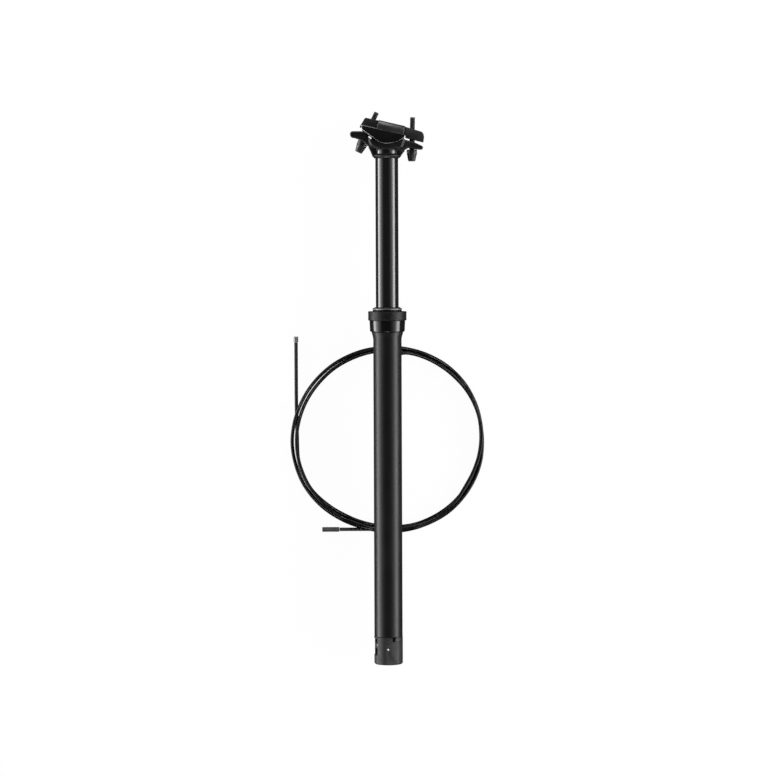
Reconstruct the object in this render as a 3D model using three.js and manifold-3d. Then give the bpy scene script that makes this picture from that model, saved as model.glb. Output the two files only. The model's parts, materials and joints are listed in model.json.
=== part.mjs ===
// Cable-operated dropper seatpost, lying on its side at full height, with its coil of cable housing.
// Millimetres. The post lies along +Y with its head at high Y, +X is the front of the bicycle and
// +Z points up from the bench. A station is a distance along the post from its lower end.
import * as THREE from "three";
import { mergeVertices } from "three/addons/utils/BufferGeometryUtils.js";
import Module from "manifold-3d";

const wasm = await Module();
wasm.setup();

// ---- driving dimensions -------------------------------------------------------------------------
const gap = 0.3; // between pieces that touch
const slideGap = 0.15; // between pieces that slide on each other
const sides = 32; // flats round the main tubes
const roundSides = 24; // flats round the cartridge's pieces
const smallSides = 16; // flats round small pieces
const pinSides = 12; // flats round pins

const travel = 160; // how far the post drops
const stanchion = { radius: 12.7, wall: 1.6, overlap: 110, socket: 8.7, bottomOut: 5.4 };
const bushing = { thickness: 0.55, length: 18, play: 0.1 };
const tubeBore = stanchion.radius + slideGap + bushing.thickness + bushing.play;
const lowerWall = 2.3;
const over = { thread: 0.7, bandLow: 2.2, bandTop: 2.7, grip: 1.8, foot: 0.2 }; // past the piece inside
const skin = tubeBore + lowerWall;
const lowerTube = { radius: skin, straight: 334, cone: 7, threadRadius: skin + over.thread, thread: 18 };
const band = {
  lowRadius: lowerTube.threadRadius + over.bandLow,
  topRadius: lowerTube.threadRadius + over.bandTop,
  height: 12.4,
  liner: 9.8,
};
const grip = { radius: band.topRadius + over.grip, height: 10, chamfer: 0.6 };
const wiperWidth = { base: 2.9, ring: 3.25 };
const wiper = {
  radius: stanchion.radius + wiperWidth.base,
  ringRadius: stanchion.radius + wiperWidth.ring,
  base: 1.6,
  ring: 1.5,
  lip: 1.3,
  seatDepth: 3.4,
};
const foot = {
  length: 31,
  radius: skin + over.foot,
  floor: 3,
  cavityRadius: 11.8,
  roof: 4,
  spigotLength: 10,
};
const opening = { under: 4.6, over: 9, low: 10.3, high: 27, depth: 8 };
const facet = { angle: 15.7, distance: 14.1, top: 27.5 };
const notch = { x: 6.4, width: 2.2, depth: 6, inner: 12.6 };
const outside = 30; // past the skin of any piece, for cutters
const port = { x: -8.2, radius: 3.1 };
const keyway = { count: 3, width: 3.2, depth: 1, length: 300 };
const key = { width: 2.6, length: 14, height: 1.7, aboveEnd: 16 };
const cartridge = { radius: 9.6, wall: 1.4, length: 218, plug: 17, gland: 10, spigot: 6 };
const rod = { radius: 4, stem: 3, bottom: 240.5, below: 1.2 };
const rodAnchor = { below: 6, height: 8, nutRadius: 6.4, nutHeight: 4.5 };
const piston = { height: 6, groove: 2, grooveDepth: 1.2, ringDepth: 0.9, ringPress: 0.05 };
const floating = { height: 8, station: 96 };
const bumper = { height: 9 };
const circlip = { thickness: 1.5, radius: 12.8 };
const lever = { pivotX: -0.6, pivotStation: 17.5, rise: 3.1, halfWidth: 3.5 };
const leverTip = { x: -14.6, low: 18.4, high: 24 };
const pivotPin = { radius: 1.15, length: 28.2 };
const anchor = { x: -10.8, station: 21.2, radius: 2, length: 8 };
const valvePin = { radius: 1.5, headRadius: 3, headHeight: 1.8, length: 26 };
const spring = { innerRadius: 1.7, outerRadius: 2.9, from: 4, length: 3.6 };

const flangeWidth = 3.6; // the flange beyond the stanchion
const flange = { radius: stanchion.radius + flangeWidth, height: 3, bevel: 2.6 };
const fillet = { width: 1.6, height: 3 }; // between the flange and the neck
const neck = { halfWidth: 13.2, wingHalfWidth: 9.5 };
const rocker = { x: 1, height: 48, radius: 32.2 }; // the cradle rocks about this line
const saddle = { x: 4.8, height: 28.6, tilt: 13.15 }; // origin and slant of the saddle clamp
const clampHalfWidth = 28.2;
const cheek = { inner: 14, rearEnd: -33.5, frontEnd: 15.3 };
const rail = { radius: 3.6, offset: 22, height: 0.9 };
const ear = { rear: -16, front: 14, bottom: 1.5, top: 9.7 };
const spine = { halfWidth: 9.2, low: -2.2, rearEnd: -35.3, frontEnd: 37.58 };
const bolt = { radius: 2.9, length: 48.8, spread: 24.2, lean: 11.8 };
const boltHead = { top: 5.7, tip: 4, height: 9.2, socket: 2.5, socketDepth: 4 };
const boltTip = { rear: -30.3, front: -26.5 }; // lower end of each bolt along its own line
const seatGap = 0.9; // the clamp is stored loose, so the washers hang this far below their seats
const boltPlay = { washer: 0.4, nut: 0.2 };
const washer = { radius: 5.9, thickness: 1.5, bore: bolt.radius + boltPlay.washer };
const clearance = { slot: 5.3, seat: 8, seatSide: 1.2, under: 12, seatDepth: 9, clamp: 5 };
const cradleGap = { halfLength: 5.2, halfWidth: 4.4 }; // openings round the bolts in the cradle
const nut = { radius: 4, length: 15, height: 3.6, bore: bolt.radius + boltPlay.nut };

const coil = { x: -1, y: -57.7, radiusX: 105.8, radiusY: 102.1, thickness: 8.4 };
const housing = { radius: 2, sides: 8, tailX: -102.8, tailTop: 51.6, tailLow: -11.9, lift: 0.05 };
const lowerRun = { x: 2, end: -37.4, y: -160 }; // the run under the post, and the tail at the foot
const shortFerrule = { radius: 2.5, length: 6.2 };
const longFerrule = { radius: 2.65, length: 19.3, tipX: -74.4 };

// ---- stations that follow ----------------------------------------------------------------------
const tubeLow = foot.length + gap;
const coneLow = tubeLow + lowerTube.straight;
const coneHigh = coneLow + lowerTube.cone;
const tubeHigh = coneHigh + lowerTube.thread;
const bandLow = coneHigh + gap;
const gripLow = bandLow + band.height + gap;
const gripHigh = gripLow + grip.height;
const wiperTop = gripHigh + gap + wiper.base + wiper.ring + wiper.lip;
const headStation = wiperTop + travel + stanchion.bottomOut;
const stanchionLow = wiperTop - stanchion.overlap;
const stanchionBore = stanchion.radius - stanchion.wall;
const bolts = { rear: 1, front: -1 };

// ---- materials -----------------------------------------------------------------------------------
function finish(color, roughness, metalness) {
  return new THREE.MeshStandardMaterial({ color, roughness, metalness });
}

const glossBlack = finish(0x0a0a0b, 0.16, 0.6);
const satinBlack = finish(0x1d1d1f, 0.42, 0.6);
const castBlack = finish(0x2b2b2d, 0.6, 0.5);
const rubber = finish(0x161616, 0.85, 0);
const jacket = finish(0x0e0e0f, 0.35, 0);
const plastic = finish(0x252527, 0.6, 0);
const steel = finish(0x8f9194, 0.35, 1);
const darkSteel = finish(0x2c2d30, 0.45, 0.9);
const alloy = finish(0xb9bbbf, 0.35, 0.9);
const brass = finish(0xa88845, 0.35, 0.9);

// ---- solids --------------------------------------------------------------------------------------
// A closed geometry as a manifold-3d solid, turned to face outwards if its profile ran the other way.
function solid(geometry) {
  const plain = new THREE.BufferGeometry();
  const source = geometry.index ? geometry.toNonIndexed() : geometry;
  plain.setAttribute("position", source.getAttribute("position"));
  const merged = mergeVertices(plain, 1e-4);
  const triVerts = new Uint32Array(merged.index.array);
  const vertProperties = merged.attributes.position.array;
  const corner = (i) => new THREE.Vector3().fromArray(vertProperties, 3 * triVerts[i]);
  let volume = 0;
  for (let i = 0; i < triVerts.length; i += 3) volume += corner(i).dot(corner(i + 1).cross(corner(i + 2)));
  if (volume < 0) triVerts.reverse();
  return new wasm.Manifold(new wasm.Mesh({ numProp: 3, vertProperties, triVerts }));
}

function geometryOf(shape) {
  const { vertProperties, triVerts, numProp } = shape.getMesh();
  const geometry = new THREE.BufferGeometry();
  const positions = new Float32Array((vertProperties.length / numProp) * 3);
  for (let i = 0; i < positions.length / 3; i += 1) {
    positions.set(vertProperties.subarray(i * numProp, i * numProp + 3), 3 * i);
  }
  geometry.setAttribute("position", new THREE.BufferAttribute(positions, 3));
  geometry.setIndex(new THREE.BufferAttribute(triVerts, 1));
  const flat = geometry.toNonIndexed();
  flat.computeVertexNormals();
  return flat;
}

const points = (list) => list.map(([x, y]) => new THREE.Vector2(x, y));

// A body turned about the post axis from [radius, station] points; a ring's outline closes on itself.
function turned(outline, count = sides) {
  const onAxis = outline[0][0] === 0;
  return solid(new THREE.LatheGeometry(points(onAxis ? outline : [...outline, outline[0]]), count));
}

const tube = (inner, outer, low, high, count) =>
  turned([[inner, low], [outer, low], [outer, high], [inner, high]], count);

const bar = (radius, low, high, count = smallSides) =>
  turned([[0, low], [radius, low], [radius, high], [0, high]], count);

// A side-view outline in X and Y, given its thickness from z0 to z1.
function plate(outline, z0, z1) {
  const shape = outline instanceof THREE.Shape ? outline : new THREE.Shape(points(outline));
  const options = { depth: z1 - z0, bevelEnabled: false, curveSegments: 8 };
  return solid(new THREE.ExtrudeGeometry(shape, options)).translate([0, 0, z0]);
}

function box(x0, x1, y0, y1, z0, z1) {
  const shape = solid(new THREE.BoxGeometry(x1 - x0, y1 - y0, z1 - z0));
  return shape.translate([(x0 + x1) / 2, (y0 + y1) / 2, (z0 + z1) / 2]);
}

// A round bar across the post, along Z, at a place in X and Y.
const crossBar = (radius, x, y, z0, z1, count = smallSides) =>
  bar(radius, z0, z1, count).rotate([90, 0, 0]).translate([x, y, 0]);

// Points on an arc in X and Y, angles in degrees.
function arc(x, y, radius, from, to, steps) {
  return Array.from({ length: steps + 1 }, (_, i) => {
    const angle = THREE.MathUtils.degToRad(from + ((to - from) * i) / steps);
    return [x + radius * Math.cos(angle), y + radius * Math.sin(angle)];
  });
}

const post = new THREE.Group();

function add(name, shape, material, parent = post) {
  const mesh = new THREE.Mesh(geometryOf(shape), material);
  mesh.name = name;
  parent.add(mesh);
  return mesh;
}

// ---- lower tube and collar -----------------------------------------------------------------------
function outerTube() {
  const { radius, threadRadius } = lowerTube;
  const shell = turned([
    [tubeBore, tubeLow], [radius, tubeLow], [radius, coneLow], [radius + 0.9, coneHigh],
    [threadRadius, coneHigh], [threadRadius, tubeHigh], [tubeBore, tubeHigh],
  ]);
  return cutKeyways(shell);
}

// Straight grooves in the bore, which the keys run in.
function cutKeyways(shell) {
  const top = tubeHigh - bushing.length - gap;
  const reach = tubeBore + keyway.depth;
  let cut = shell;
  for (let i = 0; i < keyway.count; i += 1) {
    const groove = box(tubeBore - 2, reach, top - keyway.length, top, -keyway.width / 2, keyway.width / 2);
    cut = cut.subtract(groove.rotate([0, (360 / keyway.count) * i, 0]));
  }
  return cut;
}

function collarBand() {
  const inner = lowerTube.threadRadius + gap;
  const top = bandLow + band.height;
  const liner = grip.radius - 2.4;
  return turned([
    [inner, bandLow], [band.lowRadius, bandLow], [band.topRadius, top], [liner, top],
    [liner, top + band.liner], [wiper.radius - 1, top + band.liner],
    [wiper.radius - 1, tubeHigh + gap], [inner, tubeHigh + gap],
  ]);
}

function collarGrip() {
  const inner = grip.radius - 2.4 + gap;
  const { radius, chamfer } = grip;
  return turned([
    [inner, gripLow], [radius - chamfer, gripLow], [radius, gripLow + chamfer],
    [radius, gripHigh - chamfer], [radius - chamfer, gripHigh], [inner, gripHigh],
  ]);
}

function wiperSeal() {
  const bore = stanchion.radius + slideGap;
  const base = gripHigh + gap;
  const seat = wiper.radius - 1 - gap;
  const ringLow = base + wiper.base;
  const lipLow = ringLow + wiper.ring;
  return turned([
    [bore, base - wiper.seatDepth], [seat, base - wiper.seatDepth], [seat, base], [wiper.radius, base],
    [wiper.radius, ringLow], [seat, ringLow], [seat, lipLow], [wiper.radius - 0.4, lipLow],
    [bore + 0.8, wiperTop], [bore, wiperTop],
  ]);
}

function wiperRing() {
  const low = gripHigh + gap + wiper.base + 0.1;
  return tube(wiper.radius - 1, wiper.ringRadius, low, low + wiper.ring - 0.2);
}

add("outer_tube", outerTube(), satinBlack);
add("collar_band", collarBand(), glossBlack);
add("collar_grip", collarGrip(), rubber);
add("wiper_seal", wiperSeal(), rubber);
add("wiper_ring", wiperRing(), alloy);
const bushOuter = stanchion.radius + slideGap + bushing.thickness - 0.1;
const bushTop = tubeHigh - gap;
const bushInner = stanchion.radius + slideGap;
add("upper_bushing", tube(bushInner, bushOuter, bushTop - bushing.length, bushTop), plastic);

// ---- stanchion and its guides --------------------------------------------------------------------
const keyLow = stanchionLow + key.aboveEnd;
const keyBase = stanchion.radius - 0.9;

const atKey = (shape, i) => shape.rotate([0, (360 / keyway.count) * i, 0]);

function stanchionTube() {
  const top = headStation + stanchion.socket;
  let shell = tube(stanchionBore, stanchion.radius, stanchionLow, top);
  const half = key.width / 2 + gap / 2;
  for (let i = 0; i < keyway.count; i += 1) {
    const [low, high] = [keyLow - gap, keyLow + key.length + gap];
    const pocket = box(keyBase - gap, stanchion.radius + 1, low, high, -half, half);
    shell = shell.subtract(atKey(pocket, i));
  }
  const seat = tube(stanchion.radius - 0.6, stanchion.radius + 1, stanchionLow + 1.5, keyLow - 1.5);
  return shell.subtract(seat);
}

add("stanchion", stanchionTube(), glossBlack);
for (let i = 0; i < keyway.count; i += 1) {
  const half = key.width / 2;
  const block = box(keyBase, keyBase + key.height, keyLow, keyLow + key.length, -half, half);
  add(`guide_key_${i + 1}`, atKey(block, i), brass);
}
const guideInner = stanchion.radius - 0.6 + gap;
add("lower_bushing", tube(guideInner, tubeBore - slideGap, stanchionLow + 1.8, keyLow - 1.8), plastic);

// ---- lifting cartridge ---------------------------------------------------------------------------
const plugLow = foot.length - foot.roof + gap;
const plugHigh = plugLow + cartridge.plug;
const bodyLow = plugHigh + gap;
const bodyHigh = bodyLow + cartridge.length;
const cartridgeBore = cartridge.radius - cartridge.wall;
const pistonRadius = cartridgeBore - slideGap;
const rodTop = headStation + stanchion.socket - rod.below;

function cartridgePlug() {
  const bore = valvePin.radius + gap;
  const reduced = cartridgeBore - gap;
  return turned([
    [bore, plugLow], [cartridge.radius, plugLow], [cartridge.radius, plugHigh], [reduced, plugHigh],
    [reduced, plugHigh + cartridge.spigot], [bore, plugHigh + cartridge.spigot],
  ], roundSides);
}

function cartridgeGland() {
  const bore = rod.radius + slideGap;
  const reduced = cartridgeBore - gap;
  const seat = bodyHigh + gap;
  return turned([
    [bore, seat - cartridge.spigot], [reduced, seat - cartridge.spigot], [reduced, seat],
    [cartridge.radius, seat], [cartridge.radius, seat + cartridge.gland], [bore, seat + cartridge.gland],
  ], roundSides);
}

function mainPiston() {
  const low = rod.bottom + gap;
  const mid = low + piston.height / 2;
  const half = piston.groove / 2;
  const grooved = pistonRadius - piston.grooveDepth;
  const inner = rod.stem + gap;
  return turned([
    [inner, low], [pistonRadius, low], [pistonRadius, mid - half], [grooved, mid - half],
    [grooved, mid + half], [pistonRadius, mid + half], [pistonRadius, low + piston.height],
    [inner, low + piston.height],
  ], roundSides);
}

function pistonRod() {
  const neckTop = rod.bottom + piston.height + 2 * gap;
  const { stem } = rod;
  return turned([
    [0, rod.bottom], [stem, rod.bottom], [stem, neckTop], [rod.radius, neckTop],
    [rod.radius, rodTop], [0, rodTop],
  ]);
}

add("cartridge_plug", cartridgePlug(), alloy);
add("cartridge_body", tube(cartridgeBore, cartridge.radius, bodyLow, bodyHigh, roundSides), alloy);
add("cartridge_gland", cartridgeGland(), alloy);
add("piston_rod", pistonRod(), steel);
add("rod_piston", mainPiston(), alloy);
const ringMiddle = rod.bottom + gap + piston.height / 2;
const ringHalf = piston.groove / 2 - 0.2;
const ringInner = pistonRadius - piston.ringDepth;
const ringOuter = pistonRadius + piston.ringPress;
const pistonRing = tube(ringInner, ringOuter, ringMiddle - ringHalf, ringMiddle + ringHalf, roundSides);
add("piston_ring", pistonRing, rubber);
const bumperTop = bodyHigh - cartridge.spigot;
const bumperLow = bumperTop - bumper.height;
const topOutBumper = tube(rod.radius + gap, pistonRadius - gap, bumperLow, bumperTop, roundSides);
add("top_out_bumper", topOutBumper, rubber);
const floatingHigh = floating.station + floating.height;
add("floating_piston", bar(pistonRadius, floating.station, floatingHigh, roundSides), alloy);

const anchorLow = headStation - rodAnchor.below;
const anchorHigh = anchorLow + rodAnchor.height;
add("rod_anchor", tube(rod.radius + gap, stanchionBore - gap, anchorLow, anchorHigh, roundSides), alloy);
const nutLow = anchorHigh + gap;
const nutHigh = nutLow + rodAnchor.nutHeight;
const nutHole = bar(rod.radius + gap, nutLow - 1, nutHigh + 1);
add("rod_nut", bar(rodAnchor.nutRadius, nutLow, nutHigh, 6).subtract(nutHole), darkSteel);
const circlipLow = foot.length + foot.spigotLength + gap;
const circlipHigh = circlipLow + circlip.thickness;
const retainingRing = tube(cartridge.radius + gap, circlip.radius, circlipLow, circlipHigh, roundSides);
add("retaining_ring", retainingRing, darkSteel);

// ---- release mechanism in the foot ---------------------------------------------------------------
function footHousing() {
  const { radius, length, floor, cavityRadius, roof, spigotLength } = foot;
  const spigot = tubeBore - gap;
  const bore = cartridge.radius + gap;
  const shell = turned([
    [0, 0], [radius - 1.6, 0], [radius, 1.6], [radius, length], [spigot, length],
    [spigot, length + spigotLength], [bore, length + spigotLength], [bore, length - roof],
    [cavityRadius, length - roof], [cavityRadius, floor], [0, floor],
  ]);
  const side = box(-outside, -opening.depth, opening.low, opening.high, -opening.under, opening.over);
  const flat = box(-outside, outside, -1, facet.top, facet.distance, outside).rotate([0, facet.angle, 0]);
  const [left, right] = [notch.x - notch.width / 2, notch.x + notch.width / 2];
  const slot = box(left, right, length - notch.depth, length + 1, notch.inner, outside);
  const cablePort = bar(port.radius, -1, floor + 1).translate([port.x, 0, 0]);
  const pinHole = crossBar(pivotPin.radius + gap, lever.pivotX, lever.pivotStation, -outside, outside);
  return [side, flat, slot, cablePort, pinHole].reduce((shape, cut) => shape.subtract(cut), shell);
}

function releaseLever() {
  const { pivotX: x, pivotStation: y, rise, halfWidth } = lever;
  const { x: tip, low, high } = leverTip;
  const outline = [
    [x + 3.4, y - 2.4], [x + 4.2, y + rise], [x - 3.4, y + rise], [-8, high],
    [tip, high], [tip, low], [-8.4, low - 1.2], [x - 2.6, y - 3], [x + 1.2, y - 3.6],
  ];
  const through = halfWidth + 1;
  return plate(outline, -halfWidth, halfWidth)
    .subtract(crossBar(pivotPin.radius + gap, x, y, -through, through))
    .subtract(crossBar(anchor.radius + gap, anchor.x, anchor.station, -through, through));
}

function valvePinShape() {
  const { radius, headRadius, headHeight, length } = valvePin;
  const low = lever.pivotStation + lever.rise + gap;
  return turned([
    [0, low], [headRadius, low], [headRadius, low + headHeight], [radius, low + headHeight],
    [radius, low + length], [0, low + length],
  ], pinSides);
}

// The coils of the lever's return spring, as one ring round the pivot pin.
function leverSpring() {
  const { innerRadius, outerRadius, from, length } = spring;
  const ring = tube(innerRadius, outerRadius, from, from + length, pinSides);
  return ring.rotate([90, 0, 0]).translate([lever.pivotX, lever.pivotStation, 0]);
}

add("foot_housing", footHousing(), castBlack);
add("release_lever", releaseLever(), alloy);
const halfPin = pivotPin.length / 2;
const { pivotX, pivotStation } = lever;
add("lever_pivot_pin", crossBar(pivotPin.radius, pivotX, pivotStation, -halfPin, halfPin, pinSides), steel);
const halfAnchor = anchor.length / 2;
const cableAnchor = crossBar(anchor.radius, anchor.x, anchor.station, -halfAnchor, halfAnchor, pinSides);
add("cable_anchor", cableAnchor, brass);
add("valve_pin", valvePinShape(), steel);
add("lever_spring", leverSpring(), steel);

// ---- head ----------------------------------------------------------------------------------------
// The saddle clamp is drawn level, about its own origin, then set at its slant.
function slanted(shape) {
  return shape.rotate([0, 0, -saddle.tilt]).translate([saddle.x, headStation + saddle.height, 0]);
}

// A shape drawn about the post's own axis, set on one bolt's line in the clamp's level frame.
function leaned(shape, side) {
  return shape.rotate([0, 0, -side * bolt.lean]).translate([-side * bolt.spread, 0, 0]);
}

// A round bar on one bolt's own line, between two distances from where it crosses the saddle line.
function onBolt(side, radius, low, high) {
  return slanted(leaned(bar(radius, low, high, pinSides), side));
}

// The same line as a slot that is long fore and aft.
function slotOnBolt(side, halfLength, halfWidth, low, high) {
  return slanted(leaned(box(-halfLength, halfLength, low, high, -halfWidth, halfWidth), side));
}

const seatOf = (tip) => tip + boltHead.height + 2 * washer.thickness + 2 * gap + seatGap;

function seatHead() {
  const low = headStation;
  const up = (list) => list.map(([x, h]) => [x, low + h]);
  const pocket = rocker.radius + gap;
  const wings = plate(up([
    [-flange.radius + 1, flange.height], [-17.2, 7], [-22, 14.7], [-27.7, 19.5], [-34.4, 22.4], [-39.2, 23.2],
    [-40.8, 25.3], [-40.8, 28.1], [-39, 30], [-28.8, 30], [-24.6, 28.2], [-20, 22], [19, 20.8], [30.1, 17.4],
    [39.1, 13.4], [40.8, 12.3], [39.6, 9.4], [30.8, 9.9], [24.5, 11.9], [21.6, 9.8], [17.6, 4.9],
    [flange.radius - 1, flange.height],
  ]), -neck.wingHalfWidth, neck.wingHalfWidth);
  const core = plate(up([
    [-flange.radius + 2.5, flange.height], [-16.6, 9], [-20.5, 15], [-20.5, 24], [18.6, 24], [20, 20.4],
    [19.5, 12], [16.2, 7], [flange.radius - 2.5, flange.height],
  ]), -neck.halfWidth, neck.halfWidth);
  const { radius, height, bevel } = flange;
  const base = turned([
    [0, low], [radius - bevel, low], [radius, low + bevel], [radius, low + height],
    [radius - fillet.width, low + height + fillet.height], [0, low + height + fillet.height],
  ]);
  let head = wings.add(core).add(base);
  head = head.subtract(crossBar(pocket, rocker.x, low + rocker.height, -outside, outside, 2 * sides));
  head = head.subtract(bar(stanchion.radius + gap, low - 1, low + stanchion.socket + gap, sides));
  for (const [name, side] of Object.entries(bolts)) {
    const seat = seatOf(boltTip[name]);
    const { slot, under, seatDepth, seatSide } = clearance;
    head = head.subtract(slotOnBolt(side, slot, washer.bore, seat - under, 0));
    head = head.subtract(slotOnBolt(side, clearance.seat, washer.radius + seatSide, seat - seatDepth, seat));
  }
  return head;
}

function lowerCradle() {
  const { x, height, radius } = rocker;
  const angle = THREE.MathUtils.degToRad(saddle.tilt);
  const dx = x - saddle.x;
  const dy = height - saddle.height;
  const centre = [dx * Math.cos(angle) - dy * Math.sin(angle), dx * Math.sin(angle) + dy * Math.cos(angle)];
  const rocking = arc(centre[0], centre[1], radius, 267, 306, 8);
  const side = [[cheek.rearEnd, 0], [cheek.rearEnd + 1.4, -4.7], ...rocking, [cheek.frontEnd + 0.8, -2],
    [cheek.frontEnd, 0]];
  const belly = [[-18.6, 0], ...arc(centre[0], centre[1], radius, 249, 306, 12), [cheek.frontEnd, 0]];
  const middle = plate(belly, -cheek.inner - 1, cheek.inner + 1);
  const cheeks = [-1, 1].map((end) => {
    const near = end * cheek.inner;
    const far = end * clampHalfWidth;
    return plate(side, Math.min(near, far), Math.max(near, far));
  });
  let cradle = middle.add(cheeks[0]).add(cheeks[1]);
  for (const end of [-1, 1]) cradle = cradle.subtract(railBar(end));
  for (const sideOf of Object.values(bolts)) {
    const { halfLength, halfWidth } = cradleGap;
    const clear = box(-halfLength, halfLength, -outside, halfWidth, -halfWidth, halfWidth);
    cradle = cradle.subtract(leaned(clear, sideOf));
  }
  return slanted(cradle);
}

// The round bar that a saddle rail fills, along the saddle line.
function railBar(end) {
  const lying = bar(rail.radius, -2 * outside, 2 * outside, 20).rotate([0, 0, 90]);
  return lying.translate([0, rail.height, end * rail.offset]);
}

function upperClamp() {
  const { rear, front, bottom, top } = ear;
  const reach = clampHalfWidth;
  const section = new THREE.Shape();
  section.moveTo(-reach, bottom);
  section.lineTo(-reach, rail.height + 3);
  section.quadraticCurveTo(-reach, top, -rail.offset + 1.5, top);
  section.lineTo(rail.offset - 1.5, top);
  section.quadraticCurveTo(reach, top, reach, rail.height + 3);
  section.lineTo(reach, bottom);
  section.closePath();
  const cross = plate(section, rear, front).rotate([0, 90, 0]);
  const { halfWidth, low, rearEnd, frontEnd } = spine;
  const backBlock = plate([
    [rearEnd, low], [rear - 3.6, low], [rear - 3.6, bottom], [rear + 1, bottom], [rear + 1, top - 0.1],
    [rearEnd + 3.8, top - 0.3],
  ], -halfWidth, halfWidth);
  const frontBlock = plate([
    [front + 2.6, low], [frontEnd, low - 0.4], [frontEnd - 3.2, top - 1.6], [front - 1, top - 0.1],
    [front - 1, bottom], [front + 2.6, bottom],
  ], -halfWidth, halfWidth);
  let clamp = cross.add(backBlock).add(frontBlock);
  for (const end of [-1, 1]) clamp = clamp.subtract(railBar(end));
  for (const side of Object.values(bolts)) {
    const [x, y] = nutCentre(side);
    clamp = clamp.subtract(crossBar(nut.radius + gap, x, y, -halfWidth - 1, halfWidth + 1));
    const half = clearance.clamp;
    const slot = box(-half, half, -clearance.under, clearance.under, -washer.bore, washer.bore);
    clamp = clamp.subtract(slot.rotate([0, 0, -side * bolt.lean]).translate([x, y, 0]));
  }
  return slanted(clamp);
}

// Where a barrel nut sits on its bolt's line, in the clamp's own level frame.
function nutCentre(side) {
  const lean = THREE.MathUtils.degToRad(bolt.lean);
  return [-side * (bolt.spread - nut.height * Math.tan(lean)), nut.height];
}

function barrelNut(side) {
  const [x, y] = nutCentre(side);
  const half = nut.length / 2;
  const shape = crossBar(nut.radius, x, y, -half, half);
  return slanted(shape).subtract(onBolt(side, nut.bore, -outside, outside));
}

function clampBolt(side, tip) {
  const { radius, length } = bolt;
  const under = tip + boltHead.height;
  const socket = bar(boltHead.socket, tip - 1, tip + boltHead.socketDepth, 6);
  const shape = turned([
    [0, tip], [boltHead.tip, tip], [boltHead.top, under], [radius, under],
    [radius, tip + length], [0, tip + length],
  ], pinSides);
  return slanted(leaned(shape.subtract(socket), side));
}

function boltWasher(side, low) {
  const { radius, bore, thickness } = washer;
  return slanted(leaned(tube(bore, radius, low, low + thickness, smallSides), side));
}

add("seat_head", seatHead(), castBlack);
add("lower_cradle", lowerCradle(), satinBlack);
add("upper_clamp", upperClamp(), satinBlack);
for (const [name, side] of Object.entries(bolts)) {
  const tip = boltTip[name];
  const headTop = tip + boltHead.height;
  add(`${name}_bolt`, clampBolt(side, tip), darkSteel);
  add(`${name}_washer`, boltWasher(side, headTop + gap), darkSteel);
  add(`${name}_seat_washer`, boltWasher(side, headTop + 2 * gap + washer.thickness), darkSteel);
  add(`${name}_barrel_nut`, barrelNut(side), darkSteel);
}

// ---- frame ---------------------------------------------------------------------------------------
// The origin is below the middle of the post, where it rests on the bench.
const extent = new THREE.Box3().setFromObject(post);
const middleOf = extent.getCenter(new THREE.Vector3());
post.position.set(-middleOf.x, -middleOf.y, -extent.min.z);

// ---- cable housing -------------------------------------------------------------------------------
// Housing lies on the bench under the post: a coil, an upright tail on the left and a level one below.
const cable = new THREE.Group();

function housingTube(list) {
  const path = new THREE.CatmullRomCurve3(list.map((p) => new THREE.Vector3(...p)));
  const last = 360 - 360 / housing.sides;
  const section = new THREE.Shape(points(arc(0, 0, housing.radius, 0, last, housing.sides - 1)));
  const steps = Math.max(4, Math.round(path.getLength() / (6 * housing.radius)));
  return solid(new THREE.ExtrudeGeometry(section, { steps, bevelEnabled: false, extrudePath: path }));
}

function along(from, to, count) {
  return Array.from({ length: count }, (_, i) => from + ((to - from) * i) / (count - 1));
}

function coilRing() {
  const { radiusX, radiusY, thickness } = coil;
  const half = thickness / 2;
  const [inner, outer] = [1 - half / radiusX, 1 + half / radiusX];
  const round = turned([[inner, -half], [outer, -half], [outer, half], [inner, half]], 2 * sides);
  const flat = round.rotate([90, 0, 0]).scale([radiusX, radiusY, 1]);
  return flat.translate([coil.x, coil.y, half + housing.lift]);
}

const onBench = housing.radius + housing.lift;
const tailA = along(housing.tailTop - gap, housing.tailLow, 8).map((y) => [housing.tailX, y, onBench]);
const tailBFrom = longFerrule.tipX + longFerrule.length + gap;
const tailB = along(tailBFrom, lowerRun.end, 4).map((x) => [x, lowerRun.y, onBench]);
const innerY = coil.radiusY * (1 - coil.thickness / 2 / coil.radiusX) - gap;
const crossRun = along(coil.y - innerY, coil.y + innerY, 12).map((y) => [lowerRun.x, y, onBench]);

add("housing_coil", coilRing(), jacket, cable);
add("housing_tail_upper", housingTube(tailA), jacket, cable);
add("housing_tail_lower", housingTube(tailB), jacket, cable);
add("housing_cross_run", housingTube(crossRun), jacket, cable);
const shortCap = bar(shortFerrule.radius, 0, shortFerrule.length, pinSides)
  .translate([housing.tailX, housing.tailTop, shortFerrule.radius + housing.lift]);
add("short_ferrule", shortCap, steel, cable);
const longCap = bar(longFerrule.radius, 0, longFerrule.length, pinSides)
  .rotate([0, 0, -90])
  .translate([longFerrule.tipX, lowerRun.y, longFerrule.radius + housing.lift]);
add("long_ferrule", longCap, plastic, cable);

const seatpost = new THREE.Group();
seatpost.add(post, cable);
export default seatpost;
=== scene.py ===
import json
import math

import bmesh
import bpy
import numpy as np
from mathutils import Matrix, Vector
from mathutils.geometry import interpolate_bezier


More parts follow.
